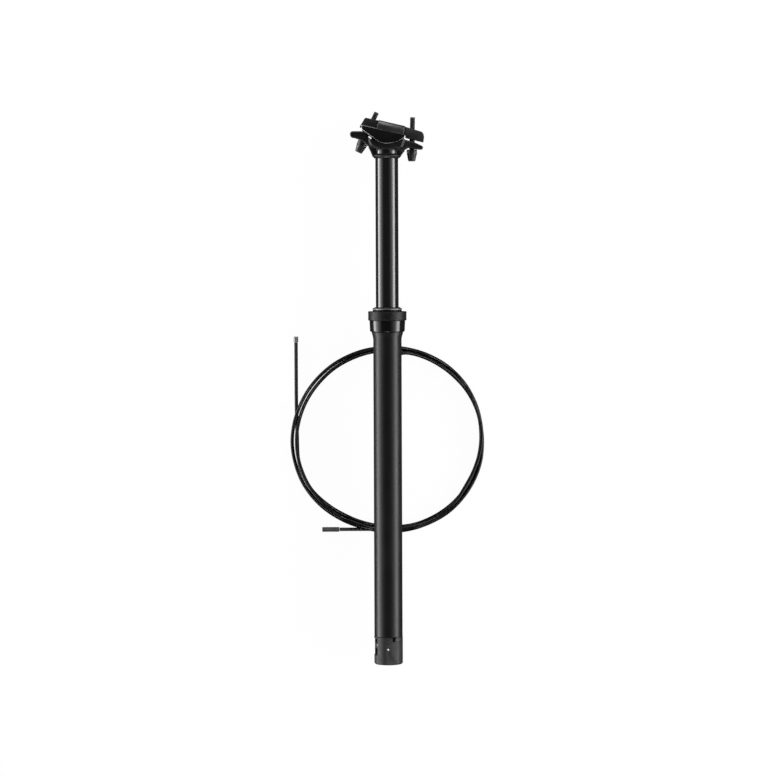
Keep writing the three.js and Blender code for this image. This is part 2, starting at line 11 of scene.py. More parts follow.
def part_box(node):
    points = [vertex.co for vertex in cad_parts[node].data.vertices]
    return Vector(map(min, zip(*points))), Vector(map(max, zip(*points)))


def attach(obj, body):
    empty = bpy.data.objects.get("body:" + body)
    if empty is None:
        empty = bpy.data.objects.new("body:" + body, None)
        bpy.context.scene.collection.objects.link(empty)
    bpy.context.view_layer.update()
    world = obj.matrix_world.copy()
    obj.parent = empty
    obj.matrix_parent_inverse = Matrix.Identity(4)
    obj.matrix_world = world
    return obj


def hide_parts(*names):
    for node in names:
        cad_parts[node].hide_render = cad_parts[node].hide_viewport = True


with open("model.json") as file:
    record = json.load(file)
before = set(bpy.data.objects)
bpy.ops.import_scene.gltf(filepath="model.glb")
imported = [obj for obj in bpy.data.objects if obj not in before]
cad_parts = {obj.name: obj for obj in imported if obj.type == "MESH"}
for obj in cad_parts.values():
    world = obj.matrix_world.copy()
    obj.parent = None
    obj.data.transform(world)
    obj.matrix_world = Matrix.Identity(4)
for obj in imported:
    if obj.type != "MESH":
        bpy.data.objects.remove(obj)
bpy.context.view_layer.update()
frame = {"nodes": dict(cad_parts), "record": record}
mm = 0.001  # every piece is drawn in millimetres and ends in metres
print("frame loaded")


# where the frame says things are, in millimetres
def corners(node):
    lowest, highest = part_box(node)
    return lowest / mm, highest / mm


def ends(node):
    lowest, highest = corners(node)
    return lowest.y, highest.y


stanchionBox = corners("stanchion")
axisX = (stanchionBox[0].x + stanchionBox[1].x) / 2
axisZ = (stanchionBox[0].z + stanchionBox[1].z) / 2
footLow = ends("foot_housing")[0]
headLow = ends("seat_head")[0]


# camera, floor and light
def makeCamera():
    view = {"lookAt": (0.00045, 0.00095, 0.0282), "distance": 3.2, "tilt": 3.1, "roll": -0.22,
            "lens": 132.96}
    data = bpy.data.cameras.new("camera")
    data.lens = view["lens"]
    data.sensor_width = 36
    data.clip_end = 50
    camera = bpy.data.objects.new("camera", data)
    tilt = math.radians(view["tilt"])
    back = Vector((0, math.sin(tilt), math.cos(tilt)))
    camera.location = Vector(view["lookAt"]) + back * view["distance"]
    turn = Matrix.Rotation(-tilt, 4, "X") @ Matrix.Rotation(math.radians(view["roll"]), 4, "Z")
    camera.rotation_euler = turn.to_euler()
    bpy.context.scene.collection.objects.link(camera)
    bpy.context.scene.camera = camera


def makeFloor():
    size = {"width": 30, "glow": 0.965, "shadowed": 0.03}
    bm = bmesh.new()
    bmesh.ops.create_grid(bm, x_segments=1, y_segments=1, size=size["width"] / 2)
    mesh = bpy.data.meshes.new("floor")
    bm.to_mesh(mesh)
    bm.free()
    floor = bpy.data.objects.new("floor", mesh)
    floor.location.z = -0.0002
    bpy.context.scene.collection.objects.link(floor)
    material = bpy.data.materials.new("paleFloor")
    material.use_nodes = True
    shader = material.node_tree.nodes["Principled BSDF"]
    shader.inputs["Base Color"].default_value = (size["shadowed"],) * 3 + (1,)
    shader.inputs["Roughness"].default_value = 1
    shader.inputs["Specular IOR Level"].default_value = 0
    shader.inputs["Emission Color"].default_value = (1, 1, 1, 1)
    shader.inputs["Emission Strength"].default_value = size["glow"]
    mesh.materials.append(material)
    floor.visible_glossy = False
    floor.visible_shadow = False


# Each strip lamp lies along the post; its angles are measured round the post from straight up.
strips = [
    {"name": "leftBright", "from": -100, "to": -81, "glow": 11.6},
    {"name": "leftMiddle", "from": -81, "to": -66, "glow": 4.6},
    {"name": "leftSoft", "from": -66, "to": -53, "glow": 1.7},
    {"name": "leftFaint", "from": -53, "to": -42, "glow": 0.6},
    {"name": "rightBright", "from": 63, "to": 86, "glow": 9.8},
    {"name": "rightMiddle", "from": 51, "to": 63, "glow": 2.6},
    {"name": "rightSoft", "from": 39, "to": 51, "glow": 0.9},
    {"name": "rightFaint", "from": 26, "to": 39, "glow": 0.35},
]
stripPlace = {"distance": 1.5, "length": 3.4}
# Square lamps: one high over the head, foot and cable, and one low beyond each end for the rims.
squares = [
    {"name": "headGlow", "place": (0, 2.1, 1.6), "size": 1.0, "glow": 3.2},
    {"name": "footGlow", "place": (0, -2.1, 1.6), "size": 0.7, "glow": 2.6},
    {"name": "cableGlow", "place": (0.1, 0.25, 2.4), "size": 0.35, "glow": 48},
    {"name": "headRim", "place": (0, 2.6, 0.5), "size": 1.0, "glow": 7.0},
    {"name": "footRim", "place": (0, -2.6, 0.5), "size": 1.0, "glow": 5.0},
]


def makeLamp(name, place, width, length, glow):
    # an area lamp facing the post, its length along Y, with its brightness for each square metre
    aim = Vector((0, 0, axisZ * mm))
    data = bpy.data.lights.new(name, "AREA")
    data.shape = "RECTANGLE"
    data.size = width
    data.size_y = length
    data.energy = glow * math.pi * width * length
    lamp = bpy.data.objects.new(name, data)
    back = (place - aim).normalized()
    across = Vector((0, 1, 0)).cross(back).normalized()
    facing = Matrix((across, back.cross(across), back)).transposed()
    lamp.location = place
    lamp.rotation_euler = facing.to_euler()
    bpy.context.scene.collection.objects.link(lamp)
    return lamp


def makeLamps():
    for strip in strips:
        angle = math.radians((strip["from"] + strip["to"]) / 2)
        width = stripPlace["distance"] * math.radians(strip["to"] - strip["from"])
        place = Vector((math.sin(angle), 0, math.cos(angle))) * stripPlace["distance"]
        makeLamp(strip["name"], place + Vector((0, 0, axisZ * mm)), width, stripPlace["length"],
                 strip["glow"])
    made = {}
    for square in squares:
        side = square["size"]
        made[square["name"]] = makeLamp(square["name"], Vector(square["place"]), side, side, square["glow"])
    return made


def makeWorld():
    light = {"seen": 0.985, "lit": 0.06}
    world = bpy.data.worlds.new("paleRoom")
    world.use_nodes = True
    nodes = world.node_tree.nodes
    links = world.node_tree.links
    background = nodes["Background"]
    rays = nodes.new("ShaderNodeLightPath")
    strength = nodes.new("ShaderNodeMapRange")
    strength.inputs["To Min"].default_value = light["lit"]
    strength.inputs["To Max"].default_value = light["seen"]
    links.new(rays.outputs["Is Camera Ray"], strength.inputs["Value"])
    links.new(strength.outputs["Result"], background.inputs["Strength"])
    background.inputs["Color"].default_value = (1, 1, 1, 1)
    bpy.context.scene.world = world
    bpy.context.scene.view_settings.view_transform = "Standard"
    bpy.context.scene.view_settings.look = "None"


makeCamera()
makeFloor()
lamps = makeLamps()
makeWorld()
print("camera, floor and light placed")


# materials
def basicMaterial(name, colour, roughness, metallic=0.0, specular=0.5):
    material = bpy.data.materials.new(name)
    material.use_nodes = True
    inputs = material.node_tree.nodes["Principled BSDF"].inputs
    inputs["Base Color"].default_value = (*colour, 1)
    inputs["Roughness"].default_value = roughness
    inputs["Metallic"].default_value = metallic
    inputs["Specular IOR Level"].default_value = specular
    return material


def pattern(material, scale, detail=3.0, roughness=0.55, stretch=(1, 1, 1), kind="Noise"):
    # a noise or cell pattern on object coordinates; the scale is in features for each metre
    nodes = material.node_tree.nodes
    links = material.node_tree.links
    place = nodes.new("ShaderNodeTexCoord")
    mapping = nodes.new("ShaderNodeMapping")
    mapping.inputs["Scale"].default_value = stretch
    links.new(place.outputs["Object"], mapping.inputs["Vector"])
    if kind == "Noise":
        texture = nodes.new("ShaderNodeTexNoise")
        texture.inputs["Detail"].default_value = detail
        texture.inputs["Roughness"].default_value = roughness
        output = texture.outputs["Fac"]
    else:
        texture = nodes.new("ShaderNodeTexVoronoi")
        output = texture.outputs["Distance"]
    texture.inputs["Scale"].default_value = scale
    links.new(mapping.outputs["Vector"], texture.inputs["Vector"])
    return output


def spread(material, source, low, high, start=0.3, stop=0.7):
    # the pattern brought to values between low and high
    node = material.node_tree.nodes.new("ShaderNodeMapRange")
    node.inputs["From Min"].default_value = start
    node.inputs["From Max"].default_value = stop
    node.inputs["To Min"].default_value = low
    node.inputs["To Max"].default_value = high
    material.node_tree.links.new(source, node.inputs["Value"])
    return node.outputs["Result"]


def drive(material, socket, source):
    shader = material.node_tree.nodes["Principled BSDF"]
    material.node_tree.links.new(source, shader.inputs[socket])


def mixColours(material, source, first, second):
    node = material.node_tree.nodes.new("ShaderNodeMix")
    node.data_type = "RGBA"
    node.inputs["A"].default_value = (*first, 1)
    node.inputs["B"].default_value = (*second, 1)
    material.node_tree.links.new(source, node.inputs["Factor"])
    drive(material, "Base Color", node.outputs["Result"])


def roughen(material, source, height, previous=None):
    # a bump of that height in metres, on top of an earlier one
    node = material.node_tree.nodes.new("ShaderNodeBump")
    node.inputs["Distance"].default_value = height
    material.node_tree.links.new(source, node.inputs["Height"])
    if previous is not None:
        material.node_tree.links.new(previous, node.inputs["Normal"])
    drive(material, "Normal", node.outputs["Normal"])
    return node.outputs["Normal"]


def edgeHighlight(material, first, second, start=0.53, stop=0.62):
    # paler along the sharp edges: a painted highlight
    nodes = material.node_tree.nodes
    shape = nodes.new("ShaderNodeNewGeometry")
    highlighted = spread(material, shape.outputs["Pointiness"], 0, 1, start, stop)
    mixColours(material, highlighted, first, second)


def anodisedGloss():
    look = {"colour": (0.0045, 0.0045, 0.005), "roughness": 0.13, "grain": 900}
    material = basicMaterial("anodisedGloss", look["colour"], look["roughness"], specular=0.62)
    smear = pattern(material, 18, detail=4, stretch=(1, 0.25, 1))
    drive(material, "Roughness", spread(material, smear, 0.1, 0.17))
    turning = pattern(material, look["grain"], detail=2, stretch=(0.05, 1, 0.05))
    roughen(material, turning, 0.0000012)
    return material


def bandGloss():
    material = basicMaterial("bandGloss", (0.002, 0.002, 0.0022), 0.16, specular=0.45)
    drive(material, "Roughness", spread(material, pattern(material, 18, detail=4), 0.14, 0.18))
    return material


def satinBlack():
    look = {"colour": (0.0028, 0.0028, 0.003), "paler": (0.0046, 0.0046, 0.005)}
    material = basicMaterial("satinBlack", look["colour"], 0.38, specular=0.25)
    cloud = pattern(material, 26, detail=5)
    mixColours(material, spread(material, cloud, 0, 1), look["colour"], look["paler"])
    drive(material, "Roughness",
          spread(material, pattern(material, 60, detail=4, stretch=(1, 0.3, 1)), 0.33, 0.41))
    blasted = pattern(material, 3200, detail=2)
    roughen(material, blasted, 0.000006)
    return material


def castBlack(name="castBlack", colour=(0.004, 0.004, 0.0042), paler=(0.012, 0.012, 0.0125),
              roughness=(0.34, 0.46),
              specular=0.4):
    material = basicMaterial(name, colour, roughness[0], specular=specular)
    # paler sharp edges: a painted highlight
    edgeHighlight(material, colour, paler)
    drive(material, "Roughness", spread(material, pattern(material, 120, detail=5), *roughness))
    lumps = roughen(material, pattern(material, 900, detail=4), 0.00006)
    roughen(material, pattern(material, 3600, detail=2), 0.000022, lumps)
    return material


def mattRubber():
    material = basicMaterial("mattRubber", (0.002, 0.002, 0.0022), 0.5, specular=0.22)
    mottle = pattern(material, 210, detail=5, roughness=0.7)
    mixColours(material, spread(material, mottle, 0, 1), (0.0007, 0.0007, 0.0008), (0.003, 0.003, 0.0032))
    drive(material, "Roughness", spread(material, mottle, 0.38, 0.56))
    grain = roughen(material, pattern(material, 1500, detail=3), 0.00004)
    roughen(material, pattern(material, 420, kind="Cells"), 0.00002, grain)
    return material


def cableJacket():
    material = basicMaterial("cableJacket", (0.0012, 0.0012, 0.0014), 0.22, specular=0.17)
    smear = pattern(material, 70, detail=4)
    drive(material, "Roughness", spread(material, smear, 0.2, 0.24))
    roughen(material, pattern(material, 1900, detail=2), 0.000003)
    return material


def mouldedPlastic():
    material = basicMaterial("mouldedPlastic", (0.014, 0.014, 0.0145), 0.5)
    drive(material, "Roughness", spread(material, pattern(material, 150, detail=4), 0.44, 0.58))
    roughen(material, pattern(material, 2600, detail=2), 0.000014)
    return material


def machinedMetal(name, colour, darker, roughness, stretch=(1, 0.04, 1)):
    material = basicMaterial(name, colour, roughness[0], metallic=1)
    lines = pattern(material, 1400, detail=3, stretch=stretch)
    mixColours(material, spread(material, lines, 0, 1), darker, colour)
    drive(material, "Roughness", spread(material, pattern(material, 300, detail=4), *roughness))
    roughen(material, lines, 0.000004)
    return material


def blackOxide():
    material = basicMaterial("blackOxide", (0.02, 0.02, 0.021), 0.32, metallic=0.55, specular=0.6)
    # paler sharp edges on the dark steel: a painted highlight
    edgeHighlight(material, (0.016, 0.016, 0.017), (0.075, 0.075, 0.078))
    drive(material, "Roughness", spread(material, pattern(material, 500, detail=4), 0.26, 0.42))
    roughen(material, pattern(material, 2400, detail=2), 0.00001)
    return material


finishes = {
    "anodised_gloss": anodisedGloss(),
    "satin_black": satinBlack(),
    "cast_black": castBlack(),
    "rubber": mattRubber(),
    "jacket": cableJacket(),
    "black_plastic": mouldedPlastic(),
    "steel": machinedMetal("turnedSteel", (0.5, 0.51, 0.53), (0.34, 0.35, 0.36), (0.22, 0.34)),
    "dark_steel": blackOxide(),
    "band_gloss": bandGloss(),
    "bare_alloy": machinedMetal("bareAlloy", (0.62, 0.63, 0.65), (0.46, 0.47, 0.48), (0.26, 0.4),
                                (1, 1, 0.04)),
    "brass": machinedMetal("brass", (0.5, 0.36, 0.15), (0.38, 0.26, 0.1), (0.24, 0.38)),
}
# pale metal for the cradle cheeks' outer rim chamfers: a painted highlight
rimHighlight = machinedMetal("paintedRimHighlight", (0.2, 0.2, 0.205), (0.12, 0.12, 0.125), (0.3, 0.42))
ringMetal = machinedMetal("ringMetal", (0.2, 0.2, 0.205), (0.15, 0.15, 0.155), (0.5, 0.6))
print("materials made")


# mesh tools
def rounded(points):
    # [x, y] or [x, y, rounding] corners; a rounded corner is drawn as a short curve
    made = []
    for i, point in enumerate(points):
        here = Vector((point[0], point[1], 0))
        if len(point) == 2:
            made.append(here)
            continue
        before = Vector((*points[i - 1][:2], 0)) - here
        after = Vector((*points[(i + 1) % len(points)][:2], 0)) - here
        reach = min(point[2], 0.4 * before.length, 0.4 * after.length)
        start = here + before.normalized() * reach
        stop = here + after.normalized() * reach
        made += interpolate_bezier(start, start.lerp(here, 0.55), stop.lerp(here, 0.55), stop, 5)
    return made


def spun(points, steps=96):
    # an outline of [radius, y] points turned about the post's axis
    bm = bmesh.new()
    line = rounded(points)
    verts = [bm.verts.new(p) for p in line]
    edges = [bm.edges.new(pair) for pair in zip(verts, verts[1:])]
    if line[0].x > 0:
        edges.append(bm.edges.new((verts[-1], verts[0])))
    bmesh.ops.spin(bm, geom=verts + edges, cent=(0, 0, 0), axis=(0, 1, 0), angle=math.tau, steps=steps,
                   use_merge=True)
    bmesh.ops.remove_doubles(bm, verts=bm.verts, dist=0.0001)
    bmesh.ops.recalc_face_normals(bm, faces=bm.faces)
    return bm


def slab(points, z0, z1):
    # an outline in X and Y, drawn out from z0 to z1
    bm = bmesh.new()
    face = bm.faces.new([bm.verts.new((p.x, p.y, z0)) for p in rounded(points)])
    made = bmesh.ops.extrude_face_region(bm, geom=[face])["geom"]
    moved = [v for v in made if isinstance(v, bmesh.types.BMVert)]
    bmesh.ops.translate(bm, verts=moved, vec=(0, 0, z1 - z0))
    bmesh.ops.recalc_face_normals(bm, faces=bm.faces)
    return bm


def block(x0, x1, y0, y1, z0, z1):
    return slab([[x0, y0], [x1, y0], [x1, y1], [x0, y1]], z0, z1)


def crossBar(radius, x, y, z0, z1, count=48):
    # a round bar along Z
    bm = bmesh.new()
    bmesh.ops.create_cone(bm, cap_ends=True, segments=count, radius1=radius, radius2=radius, depth=z1 - z0)
    bmesh.ops.translate(bm, verts=bm.verts, vec=(x, y, (z0 + z1) / 2))
    return bm


def turned(bm, degrees, axis):
    bmesh.ops.rotate(bm, verts=bm.verts, cent=(0, 0, 0),
                     matrix=Matrix.Rotation(math.radians(degrees), 3, axis))
    return bm


def moved(bm, x, y, z):
    bmesh.ops.translate(bm, verts=bm.verts, vec=(x, y, z))
    return bm


def bevelled(bm, width, segments=3, angle=30, material=-1, chosen=None):
    # sharp edges taken off
    limit = math.radians(angle)
    edges = [e for e in bm.edges if len(e.link_faces) == 2 and e.calc_face_angle() > limit]
    if chosen is not None:
        edges = [e for e in edges if chosen(e)]
    bmesh.ops.bevel(bm, geom=edges, offset=width, segments=segments, profile=0.5, affect="EDGES",
                    clamp_overlap=True, material=material)
    return bm


def asObject(bm, name="cutter"):
    mesh = bpy.data.meshes.new(name)
    bm.to_mesh(mesh)
    bm.free()
    made = bpy.data.objects.new(name, mesh)
    bpy.context.scene.collection.objects.link(made)
    return made


def settle(piece):
    # the piece's modifiers become its mesh
    graph = bpy.context.evaluated_depsgraph_get()
    mesh = bpy.data.meshes.new_from_object(piece.evaluated_get(graph))
    piece.modifiers.clear()
    piece.data = mesh
    return piece


def combine(piece, shapes, operation="DIFFERENCE"):
    others = [asObject(shape) for shape in shapes]
    for other in others:
        modifier = piece.modifiers.new("cut", "BOOLEAN")
        modifier.operation = operation
        modifier.solver = "MANIFOLD"
        modifier.object = other
    settle(piece)
    for other in others:
        bpy.data.objects.remove(other)
    return piece


def addMaterials(piece, materials):
    for material in materials:
        piece.data.materials.append(material)


def finished(piece, name, slotName, body, replaced=(), sharp=32, materials=None):
    # set in place in metres, shaded, given its material and tied to its body
    piece.name = name
    mesh = piece.data
    mesh.transform(Matrix.Scale(mm, 4) @ Matrix.Translation((axisX, 0, axisZ)))
    mesh.shade_smooth()
    mesh.set_sharp_from_angle(angle=math.radians(sharp))
    chosen = np.zeros(len(mesh.polygons), dtype=np.int32)
    mesh.polygons.foreach_get("material_index", chosen)
    mesh.materials.clear()
    addMaterials(piece, materials or [finishes[slotName]])
    mesh.polygons.foreach_set("material_index", np.minimum(chosen, len(mesh.materials) - 1))
    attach(piece, body)
    if replaced:
        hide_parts(*replaced)
    return piece


def fromBmesh(bm, name, slotName, body, replaced=(), sharp=32, materials=None):
    return finished(asObject(bm, name), name, slotName, body, replaced, sharp, materials)


def swept(line, radius, sides=14):
    # a round bar along a line of points, closed at both ends
    line = [Vector(p) for p in line]
    bm = bmesh.new()
    across = Vector((0, 0, 1))
    rings = []
    for i, place in enumerate(line):
        along = (line[min(i + 1, len(line) - 1)] - line[max(i - 1, 0)]).normalized()
        across = (across - along * across.dot(along)).normalized()
        other = along.cross(across)
        angles = [math.tau * k / sides for k in range(sides)]
        spokes = [across * math.cos(a) + other * math.sin(a) for a in angles]
        rings.append([bm.verts.new(place + spoke * radius) for spoke in spokes])
    for ring, after in zip(rings, rings[1:]):
        for k in range(sides):
            bm.faces.new((ring[k - 1], ring[k], after[k], after[k - 1]))
    bm.faces.new(rings[0])
    bm.faces.new(rings[-1][::-1])
    bmesh.ops.recalc_face_normals(bm, faces=bm.faces)
    return bm


# cable housing
cable = {
    "radius": 2.0, "coilX": -1.0, "coilY": -57.7, "radiusX": 105.8, "radiusY": 102.1,
    "tailX": -102.8, "tailTop": 51.3, "tailLow": -18, "crossX": 2, "footY": -160,
    "ferruleFace": -54.8, "bend": 18, "rest": 2.05, "crossed": 6.1, "first": 192, "last": 1158,
    "spacing": 2.0, "smoothings": 14,
}
# where each strand lies: angle counted from +X, distance outside the coil's middle line, height
strandPlaces = [
    (192, -3.0, 2.05), (202, -2.2, 2.05), (214, -1.8, 2.05), (231, -3.6, 2.05), (242, -4.4, 2.05),
    (256, -4.2, 5.9), (274, -2.4, 6.1), (290, -0.4, 2.05), (318, 0.2, 2.05), (332, -0.2, 2.05),
    (346, -0.3, 2.05), (362, 0.4, 2.05), (375, 1.2, 2.05), (388, 1.1, 2.05), (401, -0.1, 2.05),
    (415, -1.1, 2.05), (432, -1.9, 2.05), (455, -2.7, 2.05), (480, -4.0, 2.05), (502, -5.0, 2.05),
    (512, -4.9, 3.2), (526, -4.6, 6.1), (540, -3.9, 6.1), (560, -3.0, 6.1), (572, -2.2, 6.1),
    (582, -1.8, 6.1), (593, -1.0, 5.0), (603, -1.1, 4.7), (616, -1.4, 9.0), (634, 0.2, 9.3),
    (650, 0.8, 5.8), (663, 1.6, 5.3), (676, 0.8, 5.7), (689, -1.5, 6.1), (704, -0.9, 6.3),
    (716, 0.6, 9.6), (730, 1.4, 9.9), (745, 2.3, 8.6), (757, 3.1, 5.6), (771, 3.1, 2.5),
    (784, 2.4, 2.2), (797, 1.7, 3.5), (815, 0.8, 4.1), (840, 0.05, 2.6), (860, -0.45, 2.05),
    (868, -0.5, 3.0), (878, -0.5, 6.1), (890, 0.2, 6.1), (903, 1.2, 3.0), (914, 1.4, 2.05),
    (930, 2.2, 2.05), (945, 2.2, 2.05), (959, 1.7, 2.3), (974, 1.2, 6.1), (994, 2.7, 6.1),
    (1010, 3.6, 2.05), (1030, 4.5, 2.05), (1046, 3.9, 2.05), (1057, 3.6, 2.05), (1066, 3.1, 3.2),
    (1076, 1.9, 5.6), (1088, 1.2, 5.95), (1100, 1.0, 6.05), (1112, 0.5, 6.1), (1124, -0.6, 6.1),
    (1140, -1.3, 6.1), (1158, -2.1, 6.1),
]


def eased(value, stops):
    # the stops' second figures, joined by curves that are level at each stop
    for (low, first), (high, second) in zip(stops, stops[1:]):
        if value <= high:
            t = max(0, (value - low) / (high - low))
            return first + (second - first) * t * t * (3 - 2 * t)
    return stops[-1][1]


def coilPoint(degrees):
    reach = eased(degrees, [(place[0], place[1]) for place in strandPlaces])
    height = eased(degrees, [(place[0], place[2]) for place in strandPlaces])
    angle = math.radians(degrees)
    x = cable["coilX"] + (cable["radiusX"] + reach) * math.cos(angle)
    y = cable["coilY"] + (cable["radiusY"] + reach) * math.sin(angle)
    return [x, y, height]


def quarter(x, y, start):
    # a quarter turn of the tightest bend about x and y, clockwise or not by its start
    steps = 14
    angles = [start + math.pi / 2 * i / steps for i in range(steps + 1)]
    return [[x + cable["bend"] * math.cos(a), y + cable["bend"] * math.sin(a)] for a in angles]


def housingRoute():
    # tail, two turns and three quarters, the run under the post, then the lower tail
    rest, bend, crossX, footY = cable["rest"], cable["bend"], cable["crossX"], cable["footY"]
    upper = [[cable["tailX"], y, rest] for y in np.linspace(cable["tailTop"], cable["tailLow"], 12)]
    turns = [coilPoint(a) for a in np.arange(cable["first"], cable["last"], 2.0)]
    leaveY = coilPoint(cable["last"])[1]
    top = quarter(crossX + bend, leaveY - bend, math.pi / 2)
    run = [[crossX, y] for y in np.linspace(leaveY - bend - 3, footY + bend + 3, 60)]
    low = [[crossX - bend + bend * math.cos(a), footY + bend + bend * math.sin(a)]
           for a in np.linspace(0, -math.pi / 2, 15)]
    flat = top[1:] + run + low
    gone = 0
    under = []
    for before, here in zip(flat, flat[1:]):
        gone += math.dist(before, here)
        under.append([*here, eased(gone, [(0, cable["crossed"]), (12, cable["crossed"]), (60, rest)])])
    lower = [[x, footY, rest] for x in np.linspace(crossX - bend - 3, cable["ferruleFace"], 12)]
    return np.array(upper + turns + under + lower)


def evenly(route, spacing):
    # the line through the points, stepped at an even spacing and smoothed
    gone = np.concatenate([[0], np.cumsum(np.linalg.norm(np.diff(route, axis=0), axis=1))])
    at = np.linspace(0, gone[-1], int(round(gone[-1] / spacing)) + 1)
    line = np.stack([np.interp(at, gone, route[:, i]) for i in range(3)], axis=1)
    for _ in range(cable["smoothings"]):
        line[1:-1] += 0.5 * ((line[:-2] + line[2:]) / 2 - line[1:-1])
    return line


def makeHousing():
    line = evenly(housingRoute(), cable["spacing"])
    bends = np.linalg.norm(line[2:] - 2 * line[1:-1] + line[:-2], axis=1) / 4
    length = float(np.linalg.norm(np.diff(line, axis=0), axis=1).sum()) * mm
    print("housing length", round(length, 4), "highest", round(float(line[:, 2].max()), 2),
          "tightest", round(float(1 / bends.max()), 1))
    line[:, :1] -= axisX
    line[:, 2] -= axisZ
    tube = fromBmesh(swept(line, cable["radius"], 18), "cable_housing", "jacket", "post_body",
                     ["housing_coil", "housing_tail_upper", "housing_tail_lower", "housing_cross_run"],
                     sharp=50)
    return tube, (line + np.array([axisX, 0, axisZ])) * mm, length


def makeShortFerrule():
    size = {"radius": 2.5, "bore": 1.2, "groove": 0.25}
    low, high = ends("short_ferrule")
    x = cable["tailX"] - axisX
    z = size["radius"] + 0.05 - axisZ
    grooved = size["radius"] - size["groove"]
    cap = spun([[size["bore"], low, 0.1], [size["radius"], low, 0.25], [size["radius"], high - 1.3],
                [grooved, high - 1.1], [grooved, high - 0.8], [size["radius"], high - 0.6],
                [size["radius"], high, 0.3], [size["bore"] + 0.5, high, 0.15], [size["bore"], high - 0.7]],
               48)
    return fromBmesh(moved(cap, x, 0, z), "short_ferrule_cap", "steel", "post_body", ["short_ferrule"],
                     materials=[ferruleMetal])


def makeLongFerrule():
    size = {"radius": 2.65, "bore": 0.7, "rounding": 1.2, "edge": 0.7}
    low, high = corners("long_ferrule")
    length = high.x - low.x
    bore, radius = size["bore"], size["radius"]
    cap = spun([[bore, 0, 0.1], [radius, 0, size["rounding"]], [radius, length, size["edge"]],
                [bore, length]], 48)
    turned(cap, -90, "Z")
    moved(cap, low.x - axisX, (low.y + high.y) / 2, (low.z + high.z) / 2 - axisZ)
    return fromBmesh(cap, "long_ferrule_cap", "black_plastic", "post_body", ["long_ferrule"])


ferruleMetal = machinedMetal("ferruleMetal", (0.16, 0.16, 0.165), (0.06, 0.06, 0.062), (0.22, 0.34))
housing, housingLine, housingLength = makeHousing()
shortFerrule = makeShortFerrule()
longFerrule = makeLongFerrule()
lit = bpy.data.collections.new("cableOnly")
for piece in (housing, shortFerrule, longFerrule):
    lit.objects.link(piece)
lamps["cableGlow"].light_linking.receiver_collection = lit
print("cable housing laid")


# lower tube and collar
def makeOuterTube():
    size = {"radius": 15.8, "bore": 13.5, "cone": 17.5, "coneLength": 7, "thread": 16.3, "threadLength": 18,
            "keyDepth": 1, "keyWidth": 3.2, "keyLength": 300, "bushing": 18.3}
    low, high = ends("outer_tube")
    coneHigh = high - size["threadLength"]
    coneLow = coneHigh - size["coneLength"]
    tube = asObject(spun([
        [size["bore"], low, 0.3], [size["radius"], low, 0.35], [size["radius"], coneLow, 2],
        [size["cone"], coneHigh - 0.8, 0.3], [size["cone"], coneHigh, 0.2], [size["thread"], coneHigh, 0.1],
        [size["thread"], high, 0.4], [size["bore"], high, 0.4],
    ], 160))
    top = high - size["bushing"]
    half = size["keyWidth"] / 2
    keyway = [size["bore"] - 2, size["bore"] + size["keyDepth"], top - size["keyLength"], top, -half, half]
    combine(tube, [turned(block(*keyway), 120 * i, "Y") for i in range(3)])
    return finished(tube, "lower_tube", "satin_black", "post_body", ["outer_tube"])


def makeBand():
    size = {"low": 19.4, "top": 19.9, "inner": 16.8, "liner": 18.6, "height": 12.4, "spigot": 14.6}
    low, high = ends("collar_band")
    top = low + size["height"]
    gapTop = ends("outer_tube")[1] + 0.3
    band = spun([
        [size["inner"], low, 0.1], [size["low"] - 0.9, low], [size["low"] - 0.1, low + 0.7, 0.25],
        [size["low"], low + 1.1, 0.2], [size["top"], top, 0.25], [size["liner"], top, 0.1],
        [size["liner"], high, 0.2], [size["spigot"], high, 0.2], [size["spigot"], gapTop],
        [size["inner"], gapTop],
    ], 160)
    return fromBmesh(band, "collar_band_ring", "anodised_gloss", "post_body", ["collar_band"],
                     materials=[finishes["band_gloss"]])


def makeGrip():
    size = {"radius": 21.45, "inner": 18.9, "rounding": 0.7, "hollow": 0.12}
    low, high = ends("collar_grip")
    hollowed = size["radius"] - size["hollow"]
    ring = spun([
        [size["inner"], low, 0.2], [size["radius"], low, size["rounding"]], [size["radius"], low + 1.4, 0.1],
        [hollowed, low + 1.6, 0.1], [hollowed, high - 1.6, 0.1],
        [size["radius"], high - 1.4, 0.1], [size["radius"], high, size["rounding"]],
        [size["inner"], high, 0.3],
    ], 160)
    return fromBmesh(ring, "collar_grip_ring", "rubber", "post_body", ["collar_grip"], sharp=40)


def makeWiper():
    size = {"bore": 12.85, "radius": 16.1, "seat": 14.3, "depth": 3.4, "base": 1.6, "ring": 1.5,
            "ringInner": 14.6, "ringOuter": 16.5}
    low, high = ends("wiper_seal")
    base = low + size["depth"]
    ringLow = base + size["base"]
    lipLow = ringLow + size["ring"]
    seal = spun([
        [size["bore"], low, 0.1], [size["seat"], low, 0.2], [size["seat"], base, 0.1],
        [size["radius"], base, 0.2],
        [size["radius"], ringLow, 0.15], [size["seat"], ringLow], [size["seat"], lipLow],
        [size["radius"] - 0.25, lipLow, 0.3], [size["bore"] + 1.2, high - 0.15, 0.5],
        [size["bore"], high, 0.15],
    ], 128)
    fromBmesh(seal, "wiper_lip_seal", "rubber", "post_body", ["wiper_seal"], sharp=40)
    low, high = ends("wiper_ring")
    inner, outer = size["ringInner"], size["ringOuter"]
    ring = spun([[inner, low], [outer, low, 0.3], [outer, high, 0.3], [inner, high]], 128)
    fromBmesh(ring, "wiper_garter_ring", "bare_alloy", "post_body", ["wiper_ring"], sharp=40,
              materials=[ringMetal])


makeOuterTube()
makeBand()
makeGrip()
makeWiper()
print("lower tube and collar made")


